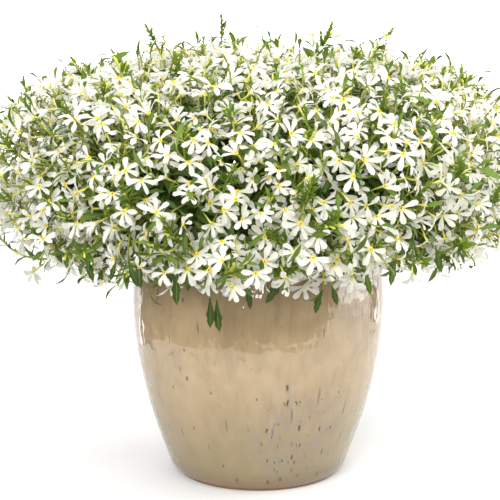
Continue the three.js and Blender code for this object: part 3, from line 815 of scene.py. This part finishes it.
greens = {name: greenMaterial(name) for name in greenKinds}
flowerFinishes = [petalMaterial(), eyeMaterial()]
flowerFinishes += [greens[name] for name in ("bloomTube", "ovary", "bud", "stem")]
leafFinishes = [greens[name] for name in ("leaf", "tuftLeaf", "stem")]
bloomShapes = [makeBloomShape(n) for n in range(bloom["kinds"])]
budShapes = [makeBudShape(300 + n) for n in range(5)]


# The leaves: lance-shaped and toothed along the stems, narrow at the tips, and plain inside the mound

leaf = {
    "kinds": 5, "narrowKinds": 4, "innerKinds": 4,
    # stem leaves: first seed, least and most half width for a length of 1, teeth, and strongest arch
    "smooth": (400, 0.10, 0.135, 0.0, 2.0), "toothed": (420, 0.13, 0.165, 0.16, 1.7),
    "tip": (440, 0.12, 0.15, 0.0, 1.9), "flat": (460, 0.115, 0.15, 0.16, 0.6),
    "smoothRows": (0, 0.18, 0.38, 0.58, 0.8, 1), "toothedRows": (0, 0.2, 0.4, 0.52, 0.64, 0.76, 0.88, 1),
}


def makeStemLeaf(seed, leastHalf, mostHalf, teeth, mostArch):
    # a lance-shaped leaf that arches over; the coarse ones have a few teeth towards the tip
    dice = random.Random(seed)
    shape = Shape()
    half = dice.uniform(leastHalf, mostHalf)
    stops = ((0, 0.022), (0.2, half * 0.42), (0.52, half), (0.8, half * 0.7), (1, 0))
    rows, columns = (leaf["toothedRows"], 5) if teeth else (leaf["smoothRows"], 3)
    blade(shape, smoothWidth(*stops), 1.0, 0, rows, columns, arch=dice.uniform(0.5, mostArch),
          fold=dice.uniform(0.25, 0.5), crimp=0.01, teeth=teeth, lift=dice.uniform(0.1, 0.5), dice=dice)
    return shape.ready()


def makeNarrowLeaf(seed):
    dice = random.Random(seed)
    shape = Shape()
    half = dice.uniform(0.12, 0.155)
    stops = ((0, half * 0.5), (0.45, half), (1, 0))
    blade(shape, smoothWidth(*stops), 1.0, 1, [0, 0.35, 0.7, 1], 3, arch=dice.uniform(0.0, 1.2), fold=0.5,
          lift=dice.uniform(0, 0.3), dice=dice)
    return shape.ready()


def makeInnerLeaf(seed):
    dice = random.Random(seed)
    shape = Shape()
    half = dice.uniform(0.12, 0.17)
    stops = ((0, 0.03), (0.5, half), (1, 0))
    blade(shape, smoothWidth(*stops), 1.0, 0, [0, 0.25, 0.5, 0.75, 1], 3,
          arch=dice.uniform(0.4, 1.2), fold=0.3, dice=dice)
    return shape.ready()


def makeStemLeaves(kind):
    first, *form = leaf[kind]
    return [makeStemLeaf(first + n, *form) for n in range(leaf["kinds"])]


smoothLeaves, toothedLeaves, flatLeaves, tipLeaves = map(makeStemLeaves, ("smooth", "toothed", "flat", "tip"))
narrowLeaves = [makeNarrowLeaf(500 + n) for n in range(leaf["narrowKinds"])]
innerLeaves = [makeInnerLeaf(600 + n) for n in range(leaf["innerKinds"])]
print("petals, buds and leaves cut")


# Growing the plant

shoots = {
    "count": 225, "side": 0.8, "out": 0.5, "lift": 0.75,
    "radius": 0.00135, "tipRadius": 0.0009, "steps": 14,
    # how far behind its tip a shoot bears leaves, and where its blooms start, stop and follow each other
    "length": 0.12, "flowerFrom": (0.010, 0.022, 0.034), "flowerTo": 0.082, "flowerStep": 0.0104,
    "flowerOut": (0.0125, 0.0165), "apart": 0.0116,
    # where its leaves start and where they come in pairs, their length, and how much longer they get
    "leafFrom": 0.014, "pairsFrom": 0.085, "leaf": 0.0165, "leafGain": 0.007,
    # side blooms tried between the shoots, how deep they sit, and how far apart on top and lower down
    "fill": 2500, "fillDepth": 0.018, "fillApart": (0.0124, 0.0143), "fillStalk": 0.02, "fillReach": 0.028,
}
greenery = {name: Gathering() for name in branchNames}
flowers = {name: Gathering() for name in flowerNames}
flowerPlaces = np.array([sum(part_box(name), Vector()) / 2 for name in flowerNames])
throats = []   # where blooms sit so far
nearCells = {}
cellSize = 0.025   # wider than any distance that blooms keep


def flowerPieceAt(place):
    return flowers[flowerNames[int(np.argmin(((flowerPlaces - np.array(place)) ** 2).sum(1)))]]


def cellOf(place):
    return tuple(int(math.floor(c / cellSize)) for c in place)


def crowded(place, apart):
    x, y, z = cellOf(place)
    for i in (-1, 0, 1):
        for j in (-1, 0, 1):
            for k in (-1, 0, 1):
                for other in nearCells.get((x + i, y + j, z + k), ()):
                    if (other - place).length < apart:
                        return True
    return False


def addTube(gathering, places, radii, sides, finish, tone):
    shape = Shape()
    shape.tube(places, radii, sides, finish)
    gathering.add(shape.ready(), None, tone)


def addStalk(gathering, places, radius):
    addTube(gathering, places, [radius] * len(places), 4, 2, 0.2)


def addBloom(node, throat, face, fanWay, dice, size):
    # the bloom with its throat there, and a short stalk from the stem's node to its ovary
    shape, low = bloomShapes[dice.randrange(len(bloomShapes))]
    matrix = standing(throat, squareTo(face, fanWay), face, size)
    piece = flowerPieceAt(throat)
    piece.add(shape, matrix, dice.random())
    foot = matrix @ low
    gap = (foot - node).length
    if gap > 0.0012:
        below = foot + (foot - throat).normalized() * gap * 0.45
        way = bezier(node, node.lerp(below, 0.6), below, foot, 3)
        addTube(piece, way, [0.0008, 0.0006, 0.00055, 0.0006], 4, 5, 0.5 * dice.random())
    nearCells.setdefault(cellOf(throat), []).append(throat.copy())
    throats.append(throat)


tuft = {
    "brush": {"leaves": (32, 44), "run": 0.024, "leaf": 0.0108, "open": 0.95},
    "spray": {"leaves": (6, 9), "run": 0.022, "leaf": 0.0175, "open": 1.1},
    "buds": (1, 4), "budBack": (0.004, 0.04), "brushShare": 0.6,
}


def growTip(piece, pointAt, dice, small, low):
    # the end of a stem: a brush of narrow leaves or a loose spray of arched ones, and slim buds among them
    isBrush = dice.random() < tuft["brushShare"] * (1 - low)
    kind = tuft["brush" if isBrush else "spray"]
    shapes = narrowLeaves if isBrush else tipLeaves
    leaves = dice.randint(*kind["leaves"])
    turned = dice.uniform(0, 6.28)
    for i in range(leaves):
        part = i / leaves
        root, axis = pointAt(kind["run"] * small * (1 - part))
        out = around(axis, turned + i * goldenAngle + dice.uniform(-0.2, 0.2))
        tilt = 0.2 + kind["open"] * (1 - part) + dice.uniform(-0.12, 0.12)
        along = (axis * math.cos(tilt) + out * math.sin(tilt)).normalized()
        size = small * kind["leaf"] * (1.1 - 0.45 * part) * dice.uniform(0.85, 1.15)
        face = axis * math.sin(tilt) - out * math.cos(tilt)
        # tufts towards the mound's lower edge get darker tones: painted shade under the mound
        tone = (0.15 + 0.8 * part if isBrush else 0.35 + 0.5 * part) * (1 - 0.5 * low)
        piece.add(shapes[i % len(shapes)], standing(root, along, face, size), tone)
    for i in range(dice.randint(*tuft["buds"])):
        root, axis = pointAt(dice.uniform(*tuft["budBack"]))
        out = around(axis, dice.uniform(0, 6.28))
        along = (axis + out * dice.uniform(0.3, 0.7)).normalized()
        place = standing(root, along, out, small * dice.uniform(0.9, 1.3))
        flowerPieceAt(root).add(budShapes[i % len(budShapes)], place, dice.random())


def growShoot(k, plan, tip, axis, outward, dice, low=0.0):
    # low is 0 over the mound and 1 at its lower edge, where tips are short and leaves hang
    green = greenery[plan["name"]]
    start = plan["neck"].lerp(plan["end"], dice.uniform(0.35, 0.95))
    start += anyWay(dice) * 0.012
    span = (tip - start).length
    bend = tip - axis * min(0.09, span * 0.5)
    steps = shoots["steps"]
    way = bezier(start, start + (up * 0.5 + plan["heading"]) * span * 0.25, bend, tip, steps)
    thinner = shoots["tipRadius"] - shoots["radius"]
    radii = [shoots["radius"] + thinner * i / steps for i in range(steps + 1)]
    addTube(green, way, radii, 5, 2, dice.random())

    def stemAt(back):
        # the point at a distance back from the tip, and the stem's direction there
        for a, b in zip(reversed(way), reversed(way[:-1])):
            step = (a - b).length
            if back <= step:
                return a + (b - a) * (back / step), (a - b) / step
            back -= step
        return way[0], (way[1] - way[0]).normalized()

    growTip(green, stemAt, dice, dice.uniform(0.8, 1.25) * (1 - 0.4 * low), low)
    back, i = shoots["leafFrom"], 0
    flowerFrom = dice.choice(shoots["flowerFrom"])
    while back < shoots["length"]:
        node, along = stemAt(back)
        # leaves get larger, darker and more open down the stem
        deep = ease(0.02, 0.12, back)
        for turn in ((0,) if back < shoots["pairsFrom"] else (0, 2.1)):
            side = around(along, i * goldenAngle + k + turn + dice.uniform(-0.3, 0.3))
            droop = 0.2 * deep + 0.9 * low
            away = (along * (0.8 - 0.4 * deep) + side + outward * 0.15 - up * droop).normalized()
            face = swayed((along + up * 0.4) * (1 - low) + outward * (0.6 + 0.8 * low), dice, 0.2)
            size = shoots["leaf"] + shoots["leafGain"] * deep + dice.uniform(-0.003, 0.005)
            tone = 0.5 - 0.38 * deep + dice.uniform(-0.25, 0.25)
            shapes = toothedLeaves if dice.random() < 0.25 + 0.3 * deep else smoothLeaves
            if low > 0.3:
                shapes = flatLeaves
            green.add(shapes[dice.randrange(len(shapes))], standing(node, away, face, size), tone)
        if flowerFrom < back < shoots["flowerTo"]:
            for turn in (0, 0.8, -0.8, 1.6, -1.6, 2.4):
                side = around(along, i * goldenAngle + k + turn, outward)
                away = (side + along * 0.5 + outward * 0.15).normalized()
                throat = node + away * dice.uniform(*shoots["flowerOut"])
                face = swayed(away * 0.55 + outward * 0.5 + up * 0.15, dice, 0.65)
                if crowded(throat, shoots["apart"]):
                    continue
                fanWay = swayed(away * 0.6 - along * 0.6 - up * 0.5, dice, 0.5)
                addBloom(node, throat, face, fanWay, dice, dice.uniform(0.88, 1.14))
                break
        back += shoots["flowerStep"] * dice.uniform(0.8, 1.2)
        i += 1
    return way


# where single shoots stand up out of the mound, as x and z near the middle
tallShoots = (
    (-0.036, 0.455), (-0.110, 0.444), (-0.183, 0.413), (-0.074, 0.432), (0.019, 0.436), (0.070, 0.445),
    (0.128, 0.443), (0.166, 0.409), (0.205, 0.396), (-0.237, 0.374), (-0.222, 0.383), (0.225, 0.376),
)
# leaves that hang before the pot's front and below the mound's sides, as x, z, length and sideways lean
hangingLeaves = (
    (-0.0385, 0.2105, 0.028, 0.08), (-0.0445, 0.2135, 0.026, 0.0), (-0.071, 0.250, 0.029, -0.05),
    (-0.063, 0.238, 0.021, -0.1), (0.021, 0.236, 0.030, -0.55), (0.0575, 0.219, 0.022, -0.3),
    (0.066, 0.222, 0.018, 0.3), (-0.012, 0.224, 0.020, 0.2), (-0.105, 0.260, 0.027, 0.05),
    (-0.083, 0.259, 0.025, 0.5), (-0.115, 0.255, 0.024, 0.35), (-0.156, 0.253, 0.024, 0.3),
    (-0.126, 0.254, 0.018, -0.3), (-0.186, 0.260, 0.020, 0.3), (0.120, 0.255, 0.022, -0.2),
    (0.092, 0.250, 0.022, 0.2), (0.158, 0.260, 0.022, 0.25), (0.183, 0.266, 0.020, -0.3),
)
# blooms of the skirt before the pot's rim, as x and z of their eyes
skirtBlooms = (
    (-0.044, 0.227), (-0.033, 0.223), (-0.0165, 0.2385), (-0.007, 0.241), (-0.023, 0.251), (-0.059, 0.249),
    (0.011, 0.237), (0.0255, 0.232), (0.034, 0.242), (0.048, 0.2255), (0.0415, 0.218), (0.0785, 0.2225),
    (0.084, 0.232), (0.093, 0.2245), (0.0905, 0.2175), (0.105, 0.236), (-0.083, 0.2495), (0.062, 0.240),
)
# single broad leaves that stand out of the mound, as place, direction and length
broadLeaves = (
    ((-0.142, -0.045, 0.412), (0.75, -0.3, 0.45), 0.026), ((0.193, -0.165, 0.331), (0.8, -0.3, -0.35), 0.026),
    ((0.062, -0.212, 0.345), (0.2, -0.6, 0.7), 0.020), ((0.135, -0.165, 0.395), (0.7, -0.4, -0.3), 0.019),
)


def growSkirtBlooms(dice):
    for x, z in skirtBlooms:
        y = -math.sqrt(potRadius(z) ** 2 - x * x) - dice.uniform(0.022, 0.032)
        throat = Vector((x, y, z))
        node = Vector((x * 0.9, y + 0.026, z + 0.016))
        face = swayed(Vector((x * 1.5, -1, 0.1)), dice, 0.35)
        fanWay = swayed(Vector((0, 0, -1)), dice, 0.35)
        addBloom(node, throat, face, fanWay, dice, dice.uniform(1.0, 1.15))


def growBroadLeaves(plans):
    for place, way, length in broadLeaves:
        root, along = Vector(place), Vector(way).normalized()
        heading = (root - heart).normalized()
        green = greenery[planTowards(plans, heading)["name"]]
        inside = root - heading * 0.03
        addStalk(green, bezier(inside, inside.lerp(root, 0.5), root - along * 0.006, root, 4), 0.0009)
        face = squareTo(along, Vector((0, -1, 0.8)))
        green.add(flatLeaves[1], standing(root, along, face, length), 0.75)


outerLeaves = {
    "count": 500, "length": (0.015, 0.023), "out": (-0.012, 0.010), "tone": (0.15, 0.75), "toothed": 0.25,
}


def growOuterLeaves(plans):
    # side leaves that stand out between the blooms all over the mound
    dice = random.Random(31)
    for k in range(outerLeaves["count"]):
        point, outward = moundAt((k + 0.5) / outerLeaves["count"], k * goldenAngle + 0.7)
        root = point + outward * dice.uniform(*outerLeaves["out"])
        green = greenery[planTowards(plans, (point - heart).normalized())["name"]]
        along = swayed(outward * 0.45 + up * 0.25, dice, 0.8)
        inside = root - outward * 0.026 - along * 0.006
        addStalk(green, bezier(inside, inside.lerp(root, 0.6), root - along * 0.006, root, 3), 0.0008)
        face = swayed(outward + up * 0.6, dice, 0.5)
        shapes = toothedLeaves if dice.random() < outerLeaves["toothed"] else smoothLeaves
        size = dice.uniform(*outerLeaves["length"])
        shape = shapes[dice.randrange(len(shapes))]
        green.add(shape, standing(root, along, face, size), dice.uniform(*outerLeaves["tone"]))


def growHangingLeaves(plans, dice):
    green = greenery[planTowards(plans, Vector((0, -1, 0)))["name"]]
    for x, z, length, lean in hangingLeaves:
        # those at the sides hang from the mound's edge, the others before the pot
        reach = 0.232 if abs(x) > 0.07 else potRadius(z) + 0.048
        y = -math.sqrt(reach * reach - x * x) - dice.uniform(0.0, 0.006)
        root = Vector((x, y, z))
        inside = Vector((x * 0.9, y + 0.03, z + 0.03))
        middle = Vector((x, y - 0.004, z + 0.024))
        addStalk(green, bezier(inside, middle, middle, root, 5), 0.0008)
        along = Vector((lean, -0.12, -1)).normalized()
        face = swayed(Vector((0, -1, 0)), dice, 0.35)
        shape = flatLeaves[dice.randrange(len(flatLeaves))]
        green.add(shape, standing(root, along, face, length * 1.08), dice.uniform(0.0, 0.12))


def growStems(plans):
    for plan in plans:
        handle = plan["neck"] + up * 0.05
        way = bezier(plan["root"], handle, plan["end"].lerp(handle, 0.4), plan["end"], branch["steps"])
        radii = [branch["radius"] * (1 - 0.4 * i / branch["steps"]) for i in range(branch["steps"] + 1)]
        addTube(greenery[plan["name"]], way, radii, branch["sides"], 2, 0.3)


def growShoots(plans, dice):
    # the shoots all over the mound, and the tall ones; gives back the points along their stems
    ways = []
    for k in range(shoots["count"]):
        bearing = k * goldenAngle + dice.uniform(-0.1, 0.1)
        share = min(0.999, (k + 0.5 + dice.uniform(-0.3, 0.3)) / shoots["count"])
        point, outward = moundAt(share, bearing)
        sideways = Vector((-math.sin(bearing), math.cos(bearing), 0)) * shoots["side"] * dice.uniform(-1, 1)
        low = ease(0.74, 0.9, share)
        rising = shoots["lift"] * ease(0.97, 0.62, share)
        axis = swayed(outward * shoots["out"] + sideways + up * rising, dice, 0.25)
        ahead = dice.uniform(-0.009, 0.012) + 0.007 * dice.random() ** 3 * max(0.2, outward.z) - 0.01 * low
        heading = (point - heart).normalized()
        plan = max(plans, key=lambda p: p["heading"].dot(heading) + dice.uniform(-0.02, 0.02))
        ways.append(growShoot(k, plan, point + outward * ahead, axis, outward, dice, low))
    for k, (x, z) in enumerate(tallShoots):
        tip = Vector((x, dice.uniform(-0.03, 0.03), z))
        heading = (tip - heart).normalized()
        axis = swayed(heading + up * 0.5, dice, 0.3)
        ways.append(growShoot(k, planTowards(plans, heading), tip, axis, heading, dice))
    return np.array([point for way in ways for point in way])


def growFillBlooms(places, dice):
    # side blooms close the bare spots between the shoots, closest together on top of the mound
    least, most = shoots["fillApart"]
    for k in range(shoots["fill"]):
        share = (k + 0.5) / shoots["fill"]
        point, outward = moundAt(share, k * goldenAngle + 1.3)
        throat = point - outward * dice.uniform(0.0, shoots["fillDepth"]) + anyWay(dice) * 0.004
        if crowded(throat, least + (most - least) * ease(0.1, 0.6, share)):
            continue
        below = throat - outward * shoots["fillStalk"]
        node = Vector(places[int(np.argmin(((places - np.array(below)) ** 2).sum(1)))])
        if (node - throat).length > shoots["fillReach"]:
            node = below - up * 0.008 + anyWay(dice) * 0.004
        face = swayed(outward + up * 0.15, dice, 0.8)
        fanWay = swayed(-up * 0.5, dice, 0.8)
        addBloom(node, throat, face, fanWay, dice, dice.uniform(0.9, 1.08))


def growPlant():
    dice = random.Random(7)
    plans = makeBranchPlans()
    growStems(plans)
    places = growShoots(plans, dice)
    growSkirtBlooms(dice)
    print("shoots grown, blooms so far:", len(throats))
    growFillBlooms(places, dice)
    growHangingLeaves(plans, dice)
    growBroadLeaves(plans)
    growOuterLeaves(plans)
    print("blooms in all:", len(throats))
    return plans


inner = {
    # shells inside the mound: their size as a share of it, how many leaves each has, and the leaves' length
    "shells": ((0.58, 640, 0.040), (0.70, 900, 0.031), (0.80, 1200, 0.024), (0.88, 1500, 0.018)),
    # the lowest a leaf may sit, and the base of the leaves' tone, which the deeper shells darken as painted
    # shade
    "lowest": 0.229, "tone": 0.05,
}


def growInnerLeaves(plans):
    # overlapping leaves on shells inside the mound, the deeper shells in darker tones as painted shade
    dice = random.Random(23)
    for scale, count, size in inner["shells"]:
        for k in range(count):
            point, outward = moundAt((k + 0.5) / count, k * goldenAngle + scale * 9)
            place = heart + (point - heart) * (scale + dice.uniform(-0.03, 0.03))
            place.z = max(place.z, inner["lowest"])
            green = greenery[planTowards(plans, (point - heart).normalized())["name"]]
            face = swayed(outward, dice, 0.55)
            along = squareTo(face, up * 0.4 - outward * 0.2 + anyWay(dice))
            shape = innerLeaves[k % len(innerLeaves)]
            root = place - along * size * 0.5
            # painted shade: the deeper the shell, the darker its leaves' tone
            tone = inner["tone"] + 0.9 * (scale - 0.6) + dice.uniform(-0.1, 0.16)
            green.add(shape, standing(root, along, face, size * dice.uniform(0.85, 1.15)), tone)


growInnerLeaves(growPlant())
for name, gathering in greenery.items():
    dress(gathering.build(name.replace("branch", "leafyBranch"), leafFinishes), "foliage", name)
for name, gathering in flowers.items():
    dress(gathering.build(name.replace("flowers", "flowerSpike"), flowerFinishes), "petals", name)
madePieces = [o for o in scene.objects if o.type == "MESH" and not o.hide_render]
print("plant grown:", sum(len(p.vertices) - 2 for o in madePieces for p in o.data.polygons), "triangles")


# The stage, lights and camera

studio = {
    # the floor's colour, and the brightness of the backdrop, the room, the top and the white that is seen
    "floor": (0.72, 0.72, 0.72, 1), "backdrop": 3.0, "room": 0.19, "top": 1.60, "seen": 1.05,
    # where the backdrop and the top begin and end, as shares of a direction
    "backdropEdge": (0.70, 0.72), "topEdge": (0.35, 0.75),
    # softboxes: place, aim, size and power
    "keySoftbox": ((0.9, -1.7, 2.0), (0, 0, 0.3), (1.5, 1.2), 26.0),
    "sideSoftbox": ((1.5, 0.25, 0.5), (0, 0, 0.2), (1.4, 1.0), 19.0),
    "fillSoftbox": ((-0.9, -2.65, 1.3), (0, 0, 0.3), (2.0, 1.6), 107.0),
    # the floor's edge, as bearings from the front and reaches: close in front, wide to the right and behind
    "edge": [(a, 0.48 - 0.035 * math.cos(math.radians(a)) ** 4) for a in range(-135, 42, 3)]
    + [(50, 0.62), (60, 1.0), (70, 2.0), (79, 4.5), (119, 4.5)]
    + [(a, 0.62) for a in range(119, 138, 3)] + [(137, 2.8), (225, 2.8)],
}


def makeStage():
    corners = []
    for bearing, reach in studio["edge"]:
        angle = math.radians(bearing)
        corners.append((reach * math.sin(angle), -reach * math.cos(angle), 0))
    mesh = bpy.data.meshes.new("studioFloor")
    mesh.from_pydata(corners, [], [tuple(range(len(corners)))])
    floor = bpy.data.objects.new("studioFloor", mesh)
    scene.collection.objects.link(floor)
    material, _, shader = newMaterial("paleFloor", Roughness=0.9, Specular_IOR_Level=0.1)
    shader.inputs["Base Color"].default_value = studio["floor"]
    floor.data.materials.append(material)


def areaLight(name):
    place, aim, (wide, tall), power = studio[name]
    light = bpy.data.lights.new(name, "AREA")
    light.shape, light.size, light.size_y = "RECTANGLE", wide, tall
    light.energy = power
    lamp = bpy.data.objects.new(name, light)
    lamp.location = place
    lamp.rotation_euler = (Vector(aim) - Vector(place)).to_track_quat("-Z", "Y").to_euler()
    scene.collection.objects.link(lamp)


def makeLight():
    for name in ("keySoftbox", "sideSoftbox", "fillSoftbox"):
        areaLight(name)
    world = bpy.data.worlds.new("studio")
    scene.world = world
    world.use_nodes = True
    tree = world.node_tree
    tree.nodes.clear()
    way = addNode(tree, "ShaderNodeTexCoord").outputs["Generated"]
    split = addNode(tree, "ShaderNodeSeparateXYZ", {0: way})
    behind = spread(tree, split.outputs[1], *studio["backdropEdge"], studio["room"], studio["backdrop"])
    above = spread(tree, split.outputs[2], *studio["topEdge"], 0.0, studio["top"])
    light = math2(tree, "MAXIMUM", behind, above)
    seen = addNode(tree, "ShaderNodeLightPath").outputs["Is Camera Ray"]
    strength = math2(tree, "MAXIMUM", light, times(tree, seen, studio["seen"]))
    sky = addNode(tree, "ShaderNodeBackground", {"Color": (1, 1, 1, 1), "Strength": strength})
    out = addNode(tree, "ShaderNodeOutputWorld")
    tree.links.new(sky.outputs[0], out.inputs["Surface"])


view = {
    "distance": 1.7, "height": 0.559, "side": -0.0083, "pitch": 11.15,
    "focalPixels": 1739, "framePixels": 500,
}


def makeCamera():
    camera = bpy.data.cameras.new("camera")
    camera.sensor_width = 36
    camera.sensor_fit = "HORIZONTAL"
    camera.lens = view["focalPixels"] * 36 / view["framePixels"]
    eye = bpy.data.objects.new("camera", camera)
    eye.location = (view["side"], -view["distance"], view["height"])
    eye.rotation_euler = (math.radians(90 - view["pitch"]), 0, 0)
    scene.collection.objects.link(eye)
    scene.camera = eye


makeStage()
makeLight()
makeCamera()
scene.view_settings.view_transform = "Standard"
scene.view_settings.look = "None"
print("stage, lights and camera set")
